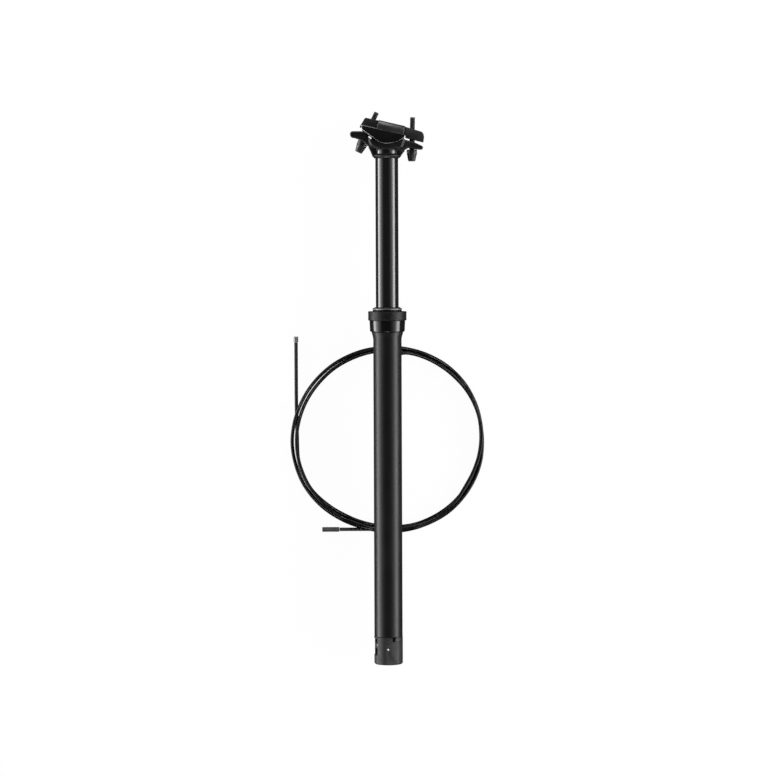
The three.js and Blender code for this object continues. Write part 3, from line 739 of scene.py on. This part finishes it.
# stanchion
def makeStanchion():
    size = {"radius": 12.7, "bore": 11.1, "keyLow": 16, "keyLength": 14, "keyWidth": 2.9, "keyBase": 11.5}
    low, high = ends("stanchion")
    tube = asObject(spun([
        [size["bore"], low, 0.3], [size["radius"], low, 0.4], [size["radius"], low + 1.3],
        [size["radius"] - 0.6, low + 1.5],
        [size["radius"] - 0.6, low + 14.5], [size["radius"], low + 14.7], [size["radius"], high, 0.3],
        [size["bore"], high, 0.2],
    ], 160))
    half = size["keyWidth"] / 2
    keyLow = low + size["keyLow"] - 0.3
    pocket = [size["keyBase"], size["radius"] + 1, keyLow, keyLow + size["keyLength"] + 0.6, -half, half]
    combine(tube, [turned(block(*pocket), 120 * i, "Y") for i in range(3)])
    return finished(tube, "stanchion_tube", "anodised_gloss", "inner_post", ["stanchion"])


makeStanchion()
print("stanchion made")


# foot and release lever
foot = {
    "radius": 16, "length": 31, "floor": 3, "cavity": 11.8, "roof": 4, "spigot": 10, "spigotRadius": 13.2,
    "bore": 9.9, "windowUnder": 4.6, "windowOver": 10.2, "windowLow": 10.3, "windowHigh": 29.4,
    "windowDepth": 8,
    "facetAngle": 15.7, "facetDistance": 14.1, "facetTop": 27.5, "notchX": 6.4, "notchWidth": 2.2,
    "notchDepth": 6,
    "portX": -8.2, "portRadius": 3.1, "pivotX": -0.6, "pivotHeight": 17.5, "pin": 1.15,
    "anchorX": -10.8, "anchorHeight": 21.2,
}


def makeFoot():
    y = footLow
    body = asObject(spun([
        [0, y], [foot["radius"], y, 1.9], [foot["radius"], y + foot["length"], 0.3],
        [foot["spigotRadius"], y + foot["length"], 0.1],
        [foot["spigotRadius"], y + foot["length"] + foot["spigot"], 0.5],
        [foot["bore"], y + foot["length"] + foot["spigot"], 0.2],
        [foot["bore"], y + foot["length"] - foot["roof"], 0.2],
        [foot["cavity"], y + foot["length"] - foot["roof"], 0.5], [foot["cavity"], y + foot["floor"], 0.8],
        [0, y + foot["floor"]],
    ], 128))
    window = bevelled(block(-20, -foot["windowDepth"], y + foot["windowLow"], y + foot["windowHigh"],
                            -foot["windowUnder"], foot["windowOver"]), 1)
    facet = block(-25, 25, y - 4, y + foot["facetTop"], foot["facetDistance"], 30)
    bevelled(facet, 2.4, 6, 30, -1, lambda e: all(v.co.y > y + 20 and v.co.z < 20 for v in e.verts))
    turned(facet, foot["facetAngle"], "Y")
    notchLeft, notchRight = foot["notchX"] - foot["notchWidth"] / 2, foot["notchX"] + foot["notchWidth"] / 2
    notchLow, notchTop = y + foot["length"] - foot["notchDepth"], y + foot["length"] + 1
    notch = slab([[notchLeft - 0.3, notchLow + 1, 0.6], [notchRight - 0.4, notchLow + 1, 0.6],
                  [notchRight + 1.2, notchTop], [notchLeft - 1.5, notchTop]], 10.8, 30)
    port = moved(spun([[0, y - 2], [foot["portRadius"] + 0.6, y - 2], [foot["portRadius"] + 0.6, y + 0.1],
                       [foot["portRadius"], y + 0.7], [foot["portRadius"], y + foot["floor"] + 1],
                       [0, y + foot["floor"] + 1]], 40), foot["portX"], 0, 0)
    pinHole = crossBar(foot["pin"] + 0.25, foot["pivotX"], y + foot["pivotHeight"], -20, 20, 32)
    combine(body, [facet])
    combine(body, [window, notch, port, pinHole])
    edges = body.modifiers.new("edges", "BEVEL")
    edges.width = 0.28
    edges.segments = 2
    edges.limit_method = "ANGLE"
    edges.angle_limit = math.radians(38)
    settle(body)
    return finished(body, "foot_casting", "cast_black", "post_body", ["foot_housing"],
                    materials=[footCasting])


def makePivotPin():
    low, high = corners("lever_pivot_pin")
    z0, z1 = low.z - axisZ, high.z - axisZ + 0.6
    pin = spun([[0, z0], [foot["pin"], z0, 0.3], [foot["pin"], z1, 0.5], [0, z1 + 0.15]], 40)
    turned(pin, 90, "X")
    moved(pin, foot["pivotX"], footLow + foot["pivotHeight"], 0)
    return fromBmesh(pin, "pivot_pin", "steel", "post_body", ["lever_pivot_pin"], materials=[glintPinSteel])


def makeLever():
    x, y = foot["pivotX"], footLow + foot["pivotHeight"]
    size = {"low": 18.4, "high": 24, "tip": -14.6, "half": 3.5, "anchorHole": 2.3}
    low, high, tip = footLow + size["low"], footLow + size["high"], size["tip"]
    outline = [
        [x + 3.4, y - 2.4, 0.8], [x + 4.2, y + 3.1, 0.6], [x - 3.4, y + 3.1, 0.8], [-8, high, 1.2],
        [tip, high, 0.6], [tip, high - 1.4, 0.3], [tip + 1.1, high - 2.1, 0.2], [tip, high - 2.9, 0.3],
        [tip, low, 0.7], [-8.4, low - 1.2, 1.2], [x - 2.6, y - 3, 1], [x + 1.2, y - 3.6, 1],
    ]
    arm = asObject(bevelled(slab(outline, -size["half"], size["half"]), 0.4, 2, 40))
    anchorY = footLow + foot["anchorHeight"]
    combine(arm, [
        crossBar(foot["pin"] + 0.3, x, y, -9, 9, 32),
        crossBar(size["anchorHole"], foot["anchorX"], anchorY, -9, 9, 32),
        block(-20, -8.6, anchorY - 0.6, anchorY + 0.6, -1.1, 1.1),
    ])
    return finished(arm, "release_lever_arm", "bare_alloy", "release_lever", ["release_lever"])


def makeAnchor():
    size = {"radius": 2, "half": 4, "screw": 0.65, "screwHalf": 3}
    x, y = foot["anchorX"], footLow + foot["anchorHeight"]
    radius, half = size["radius"], size["half"]
    barrel = spun([[0, -half], [radius, -half, 0.4], [radius, half, 0.4], [0, half]], 40)
    turned(barrel, 90, "X")
    barrel = asObject(moved(barrel, x, y, 0))
    screw, half = size["screw"], size["screwHalf"]
    combine(barrel, [moved(spun([[0, -half], [screw, -half], [screw, half], [0, half]], 24), x, y, 0)])
    return finished(barrel, "cable_anchor_barrel", "brass", "release_lever", ["cable_anchor"])


def makeLeverSpring():
    # a wound torsion spring round the pivot, with its two legs
    size = {"wire": 0.42, "radius": 2.3, "turns": 3.4, "low": 4.2, "pitch": 1.0}
    steps = int(size["turns"] * 24)
    x, y = foot["pivotX"], footLow + foot["pivotHeight"]
    points = []
    for i in range(steps + 1):
        angle = math.tau * size["turns"] * i / steps
        points.append(Vector((x + size["radius"] * math.cos(angle), y + size["radius"] * math.sin(angle),
                              size["low"] + size["pitch"] * size["turns"] * i / steps)))
    points.insert(0, Vector((x + size["radius"], y - 4.6, size["low"])))
    points.append(points[-1] + Vector((-4.2, 0.6, 0)))
    return fromBmesh(swept(points, size["wire"], 10), "lever_spring_wire", "steel", "post_body",
                     ["lever_spring"],
                     sharp=60)


# pale steel for the pivot pin, made near-white and little metallic: partly the steel's own tone, partly a
# painted glint
glintPinSteel = basicMaterial("glintPinSteel", (0.85, 0.85, 0.85), 0.35, metallic=0.2)
footCasting = castBlack("footCasting", (0.006, 0.006, 0.0064), (0.015, 0.015, 0.0157), (0.46, 0.58), 0.28)
makeFoot()
makePivotPin()
makeLever()
makeAnchor()
makeLeverSpring()
print("foot made")


# seat head
saddle = {"x": 4.8, "height": 28.6, "tilt": 13.15, "half": 28.2, "cheek": 14, "rail": 22, "railHeight": 0.9,
          "railRadius": 3.6}
rocker = {"x": 1, "height": 48, "radius": 32.2}
bolts = {"spread": 24.2, "lean": 11.8, "head": 9.2, "washer": 1.5, "gap": 0.3, "seatGap": 0.9,
         "nutHeight": 3.6, "rear": (1, -30.3), "front": (-1, -26.5)}


def clampPlace():
    # from the saddle clamp's own level lines to the post's
    place = Matrix.Translation((saddle["x"], headLow + saddle["height"], 0))
    return place @ Matrix.Rotation(math.radians(-saddle["tilt"]), 4, "Z")


def alongBolt(bm, side):
    # from a bolt's own line to the saddle clamp's level lines
    return moved(turned(bm, -side * bolts["lean"], "Z"), -side * bolts["spread"], 0, 0)


def onBolt(bm, side):
    # from a bolt's own line to the post's
    bmesh.ops.transform(bm, matrix=clampPlace(), verts=alongBolt(bm, side).verts)
    return bm


def nutPlace(side):
    # where a barrel nut's middle lies in the saddle clamp's level lines
    reach = bolts["nutHeight"] * math.tan(math.radians(bolts["lean"]))
    return -side * (bolts["spread"] - reach), bolts["nutHeight"]


def raised(points):
    return [[p[0], headLow + p[1], *p[2:]] for p in points]


def makeHead():
    size = {"flange": 16.3, "flangeHeight": 3, "bevel": 2.6, "wing": 9.5, "web": 6.2, "column": 12.6,
            "voxel": 0.42,
            "pocket": rocker["radius"] + 0.3, "socket": 13.0, "socketDepth": 9.0}
    y = headLow
    wings = bevelled(slab(raised([
        [-20, 13], [-27.7, 19.5, 3], [-34.4, 22.4, 2], [-39.2, 23.2, 1.5], [-40.8, 25.3, 1.5],
        [-40.8, 28.1, 1.5],
        [-39, 30, 1.5], [-28.8, 30, 2], [-24, 29.2, 1], [-21.4, 27.4, 0.8], [-20.8, 23], [20, 20.6],
        [30.1, 17.9, 2], [39.1, 13.6, 1],
        [40.8, 12.3, 1.2], [39.6, 9.4, 1.5], [30.8, 9.9, 2], [24.5, 11.9, 2], [18, 8],
    ]), -size["wing"], size["wing"]), 1.6, 3)
    web = slab(raised([
        [-14, 1.2], [-16.2, 3, 0.8], [-18.6, 9, 3], [-22, 14.7, 3], [-27.7, 19.4, 2], [-26, 24], [22, 20],
        [24.5, 12.2], [21.6, 9.8, 2], [17.8, 5.4, 2], [16.2, 3, 0.6], [14, 1.2],
    ]), -size["web"], size["web"])
    column = spun([[0, y + 1], [size["column"], y + 1], [size["column"], y + 9, 3],
                   [size["column"] - 1.2, y + 24],
                   [0, y + 24]], 64)
    shoulder = slab(raised([[-17, 14], [-19.5, 17.5], [-20, 24], [19.2, 24], [20, 20], [17, 12], [10, 10],
                            [-10, 10]]),
                    -13, 13)
    bevelled(shoulder, 3, 3)
    base = spun([[0, y], [size["flange"] - size["bevel"], y, 0.3], [size["flange"], y + size["bevel"], 0.4],
                 [size["flange"], y + size["flangeHeight"], 0.5], [13, y + size["flangeHeight"] + 2.4, 2],
                 [0, y + 7]],
                96)
    head = asObject(wings, "seat_head_forging")
    combine(head, [web], "UNION")
    combine(head, [column], "UNION")
    combine(head, [shoulder], "UNION")
    remesh = head.modifiers.new("skin", "REMESH")
    remesh.mode = "VOXEL"
    remesh.voxel_size = size["voxel"]
    relax = head.modifiers.new("relax", "SMOOTH")
    relax.factor = 0.5
    relax.iterations = 16
    settle(head)
    combine(head, [base], "UNION")
    half = saddle["half"] + 10
    arcAngles = [math.radians(228.3 + 116 * i / 60) for i in range(61)]
    arc = [[rocker["x"] + size["pocket"] * math.cos(a), y + rocker["height"] + size["pocket"] * math.sin(a)]
           for a in arcAngles]
    cuts = [slab([[arc[0][0], y + 70], *arc, [arc[-1][0], y + 70]], -half, half),
            spun([[0, y - 1], [size["socket"], y - 1], [size["socket"], y + size["socketDepth"], 0.4],
                  [0, y + size["socketDepth"]]], 96)]
    for name in ("rear", "front"):
        side, tip = bolts[name]
        seat = tip + bolts["head"] + 2 * bolts["washer"] + 2 * bolts["gap"] + bolts["seatGap"]
        slot = slab([[-5.3, seat - 12, 0], [5.3, seat - 12, 0], [5.3, 0, 0], [-5.3, 0, 0]], -3.3, 3.3)
        counter = slab([[-8, seat - 9], [8, seat - 9], [8, seat], [-8, seat]], -7.1, 7.1)
        cuts += [onBolt(bevelled(slot, 1.2, 3, 60), side), onBolt(counter, side)]
    for z in (-1, 1):
        face = size["wing"] - 0.45
        z0, z1 = sorted((z * face, z * (face + 3)))
        cuts.append(slab(raised([[-38.9, 24.4, 1.5], [-38.9, 28.1, 1.5], [-26.5, 27.6, 1.2],
                                 [-27.5, 24.2, 1.2]]), z0, z1))
        cuts.append(slab(raised([[38.9, 11, 1.2], [38.6, 12.8, 1], [25, 16.4, 1.2], [25, 13, 1.2]]), z0, z1))
    combine(head, cuts)
    return finished(head, "seat_head_forging", "cast_black", "inner_post", ["seat_head"], sharp=35)


def rockerCentre():
    angle = math.radians(saddle["tilt"])
    dx, dy = rocker["x"] - saddle["x"], rocker["height"] - saddle["height"]
    return dx * math.cos(angle) - dy * math.sin(angle), dx * math.sin(angle) + dy * math.cos(angle)


def rockingArc(start, stop, steps):
    x, y = rockerCentre()
    angles = [math.radians(start + (stop - start) * i / steps) for i in range(steps + 1)]
    return [[x + rocker["radius"] * math.cos(a), y + rocker["radius"] * math.sin(a)] for a in angles]


def railBars():
    # the two saddle rails' round tunnels
    radius = saddle["railRadius"]
    bars = []
    for end in (-1, 1):
        bar = turned(spun([[0, -60], [radius, -60], [radius, 60], [0, 60]], 48), 90, "Z")
        bars.append(moved(bar, 0, saddle["railHeight"], end * saddle["rail"]))
    return bars


def makeCradle():
    size = {"rear": -33.5, "front": 15.3, "rim": 0.8, "clearance": 5.2, "clearanceHalf": 4.4}
    side = [[size["rear"], 0, 0.6], [size["rear"] + 1.4, -4.7, 1], *rockingArc(267, 306, 18),
            [size["front"] + 0.8, -2, 1], [size["front"], 0, 0.8]]
    middle = slab([[-18.6, 0], *rockingArc(249, 306, 24), [size["front"], 0]], -saddle["cheek"] - 0.6,
                  saddle["cheek"] + 0.6)
    cradle = asObject(middle)
    addMaterials(cradle, [shadedCradleBlack, rimHighlight])
    for end in (-1, 1):
        near, far = sorted((end * saddle["cheek"], end * saddle["half"]))
        cheek = slab(side, near, far)
        # the outer rim's chamfer faces take the second, pale material: a painted highlight
        bevelled(cheek, size["rim"], 1, 30, 1,
                 lambda e: all(v.co.z * end > saddle["half"] - 0.1 for v in e.verts))
        other = asObject(cheek)
        addMaterials(other, [shadedCradleBlack, rimHighlight])
        modifier = cradle.modifiers.new("join", "BOOLEAN")
        modifier.operation = "UNION"
        modifier.solver = "MANIFOLD"
        modifier.object = other
        settle(cradle)
        bpy.data.objects.remove(other)
    cuts = railBars()
    for name in ("rear", "front"):
        side = bolts[name][0]
        clear = slab([[-size["clearance"], -30], [size["clearance"], -30], [size["clearance"], 4],
                      [-size["clearance"], 4]], -size["clearanceHalf"], size["clearanceHalf"])
        cuts.append(alongBolt(bevelled(clear, 1, 2, 60), side))
    combine(cradle, cuts)
    cradle.data.transform(clampPlace())
    return finished(cradle, "rail_cradle", "satin_black", "saddle_clamp", ["lower_cradle"],
                    materials=[shadedCradleBlack, rimHighlight])


def makeUpperClamp():
    size = {"rear": -16, "front": 14, "bottom": 0.3, "top": 9.7, "half": 9.2, "low": -2.2, "rearEnd": -35.3,
            "frontEnd": 37.58, "nut": 4.3, "nutHalf": 7.9, "grooves": (0.6, 7.0), "groove": 0.42}
    reach, top = saddle["half"], size["top"]
    section = [[-reach, size["bottom"], 0.5], [-reach, 4.4], [-reach + 0.5, 6.6], [-reach + 1.9, 8.5],
               [-reach + 4, 9.5],
               [-21, top], [21, top], [reach - 4, 9.5], [reach - 1.9, 8.5], [reach - 0.5, 6.6], [reach, 4.4],
               [reach, size["bottom"], 0.5]]
    ear = slab(section, size["rear"], size["front"])
    turned(ear, 90, "Y")
    bevelled(ear, 0.7, 3, 50)
    clamp = asObject(ear)
    back = bevelled(slab([
        [size["rearEnd"], size["low"], 0.8], [size["rear"] - 3.6, size["low"], 0.5],
        [size["rear"] - 3.6, size["bottom"], 0.3], [size["rear"] + 1, size["bottom"]],
        [size["rear"] + 1, top - 0.1],
        [size["rearEnd"] + 3.8, top - 0.3, 1.2]], -size["half"], size["half"]), 0.6, 2, 40)
    front = bevelled(slab([
        [size["front"] + 2.6, size["low"], 0.4], [size["frontEnd"], size["low"] - 0.4, 0.8],
        [size["frontEnd"] - 0.6, size["low"] + 6, 1.5], [size["frontEnd"] - 3.2, top - 1.6, 2],
        [size["front"] - 1, top - 0.1], [size["front"] - 1, size["bottom"]],
        [size["front"] + 2.6, size["bottom"], 0.3]],
        -size["half"], size["half"]), 0.7, 3, 40)
    combine(clamp, [back], "UNION")
    combine(clamp, [front], "UNION")
    cuts = railBars()
    for name in ("rear", "front"):
        side = bolts[name][0]
        x, y = nutPlace(side)
        cuts.append(crossBar(size["nut"], x, y, -size["nutHalf"], size["nutHalf"], 48))
        slot = slab([[-5, -12], [5, -12], [5, 12], [-5, 12]], -3.3, 3.3)
        cuts.append(moved(turned(bevelled(slot, 1.2, 3, 60), -side * bolts["lean"], "Z"), x, y, 0))
    # two fine grooves along each side of the rear block, clear of its ends
    grooveLow, grooveHigh, radius = size["rearEnd"] + 4.4, size["rear"] - 1.4, size["groove"]
    for end in (-1, 1):
        for y in size["grooves"]:
            groove = spun([[0, grooveLow], [radius, grooveLow], [radius, grooveHigh], [0, grooveHigh]], 12)
            cuts.append(moved(turned(groove, -90, "Z"), 0, y, end * (size["half"] + 0.12)))
    # the groove where each block leaves the ear
    for x in (size["rear"] - 0.9, size["front"] + 0.9):
        for end in (-1, 1):
            z0, z1 = sorted((end * (size["half"] - 0.5), end * (size["half"] + 3)))
            cuts.append(slab([[x - 0.45, -4], [x + 0.45, -4], [x + 0.45, 12], [x - 0.45, 12]], z0, z1))
    combine(clamp, cuts)
    clamp.data.transform(clampPlace())
    return finished(clamp, "rail_clamp", "satin_black", "saddle_clamp", ["upper_clamp"],
                    materials=[litClampBlack])


def threaded(points, steps, start, stop, radius, depth, pitch):
    # a spun bar whose skin between start and stop is pressed into a helical thread
    bm = spun(points, steps)
    for vert in bm.verts:
        out = math.hypot(vert.co.x, vert.co.z)
        if start < vert.co.y < stop and out > radius - 0.01:
            phase = vert.co.y / pitch - math.atan2(vert.co.z, vert.co.x) / math.tau
            wave = abs(2 * (phase % 1) - 1)
            fade = min(1, (vert.co.y - start) / pitch, (stop - vert.co.y) / pitch)
            scale = (out - depth * fade * wave) / out
            vert.co.x *= scale
            vert.co.z *= scale
    return bm


def makeBolt(name):
    size = {"radius": 2.9, "top": 5.7, "tip": 4.1, "length": 48.8, "threadFrom": 26, "pitch": 1.0,
            "depth": 0.5,
            "flutes": 12, "fluteDepth": 0.22, "socket": 2.5}
    side, tip = bolts[name]
    head = tip + bolts["head"]
    end = tip + size["length"]
    start = tip + size["threadFrom"]
    ring = size["pitch"] / 8
    stepsUp = int((end - 0.8 - start) / ring)
    line = [[size["radius"], start + ring * i] for i in range(stepsUp)]
    taper = [[size["tip"] + (size["top"] - 0.35 - size["tip"]) * i / 10,
              tip + 0.8 + (bolts["head"] - 2.6) * i / 10]
             for i in range(11)]
    outline = [[0, tip], [size["tip"] - 0.7, tip, 0.2], [size["tip"] - 0.1, tip + 0.5], *taper,
               [size["top"], head - 1.5, 0.2], [size["top"], head, 0.3], [size["radius"], head, 0.2],
               [size["radius"], start - 0.5], *line, [size["radius"] - 0.55, end, 0.2], [0, end]]
    bm = threaded(outline, 72, start, end - 0.6, size["radius"], size["depth"], size["pitch"])
    for vert in bm.verts:
        out = math.hypot(vert.co.x, vert.co.z)
        if tip + 0.4 < vert.co.y < head - 1.7 and out > size["tip"] - 0.6:
            wave = 0.5 - 0.5 * math.cos(size["flutes"] * math.atan2(vert.co.z, vert.co.x))
            scale = (out - size["fluteDepth"] * wave**2) / out
            vert.co.x *= scale
            vert.co.z *= scale
    made = asObject(bm)
    combine(made,
            [spun([[0, tip - 1], [size["socket"], tip - 1], [size["socket"], tip + 4], [0, tip + 4.6]], 6)])
    line = Matrix.Translation((-side * bolts["spread"], 0, 0))
    made.data.transform(clampPlace() @ line @ Matrix.Rotation(math.radians(-side * bolts["lean"]), 4, "Z"))
    return finished(made, f"{name}_clamp_bolt", "dark_steel", f"{name}_bolt", [f"{name}_bolt"], sharp=38)


def makeWashers(name):
    size = {"radius": 5.9, "bore": 3.3}
    side, tip = bolts[name]
    low = tip + bolts["head"] + bolts["gap"]
    thick = bolts["washer"]
    flat = spun([[size["bore"], low, 0.2], [size["radius"], low, 0.25], [size["radius"], low + thick, 0.25],
                 [size["bore"] + 0.4, low + thick], [size["bore"], low + thick - 0.3]], 64)
    fromBmesh(onBolt(flat, side), f"{name}_flat_washer", "dark_steel", f"{name}_washers", [f"{name}_washer"])
    low += thick + bolts["gap"]
    dished = spun([[size["bore"], low + 0.3], [size["bore"] + 0.6, low, 0.1],
                   [size["radius"] - 0.3, low, 0.2],
                   [size["radius"], low + 0.5, 0.2], [size["radius"] - 0.3, low + thick, 0.3],
                   [size["bore"], low + thick, 0.2]], 64)
    fromBmesh(onBolt(dished, side), f"{name}_dished_washer", "dark_steel", f"{name}_washers",
              [f"{name}_seat_washer"])


def makeBarrelNut(name):
    size = {"radius": 4, "half": 7.5, "bore": 3.1, "slot": 0.7}
    side = bolts[name][0]
    x, y = nutPlace(side)
    bar = turned(spun([[0, -size["half"]], [size["radius"], -size["half"], 0.5],
                       [size["radius"], size["half"], 0.5],
                       [0, size["half"]]], 64), 90, "X")
    nut = asObject(moved(bar, x, y, 0))
    hole = alongBolt(spun([[0, -20], [size["bore"], -20], [size["bore"], 30], [0, 30]], 48), side)
    groove = block(x - 3, x + 3, y - size["slot"], y + size["slot"], size["half"] - 0.8, size["half"] + 1)
    combine(nut, [hole, groove])
    nut.data.transform(clampPlace())
    return finished(nut, f"{name}_nut_barrel", "dark_steel", f"{name}_nut", [f"{name}_barrel_nut"])


# the cradle and the clamp share one satin black finish; the cradle's copy is darker as painted shade, and
# the clamp's copy paler as painted light
shadedCradleBlack = castBlack("shadedCradleBlack", (0.0012, 0.0012, 0.0013), (0.003, 0.003, 0.0032), (0.3, 0.38), 0.2)
litClampBlack = castBlack("litClampBlack", (0.006, 0.006, 0.0063), (0.022, 0.022, 0.023), (0.3, 0.4), 0.8)
makeHead()
print("seat head made")
makeCradle()
makeUpperClamp()
for boltName in ("rear", "front"):
    makeBolt(boltName)
    makeWashers(boltName)
    makeBarrelNut(boltName)
print("saddle clamp made")


# pieces whose modelled shape is right
def dressNodes():
    for row in frame["record"]["subparts"]:
        node = frame["nodes"][row["node"]]
        node.data.materials.clear()
        node.data.materials.append(finishes[row["material_slot"]])


dressNodes()

print("scene finished")
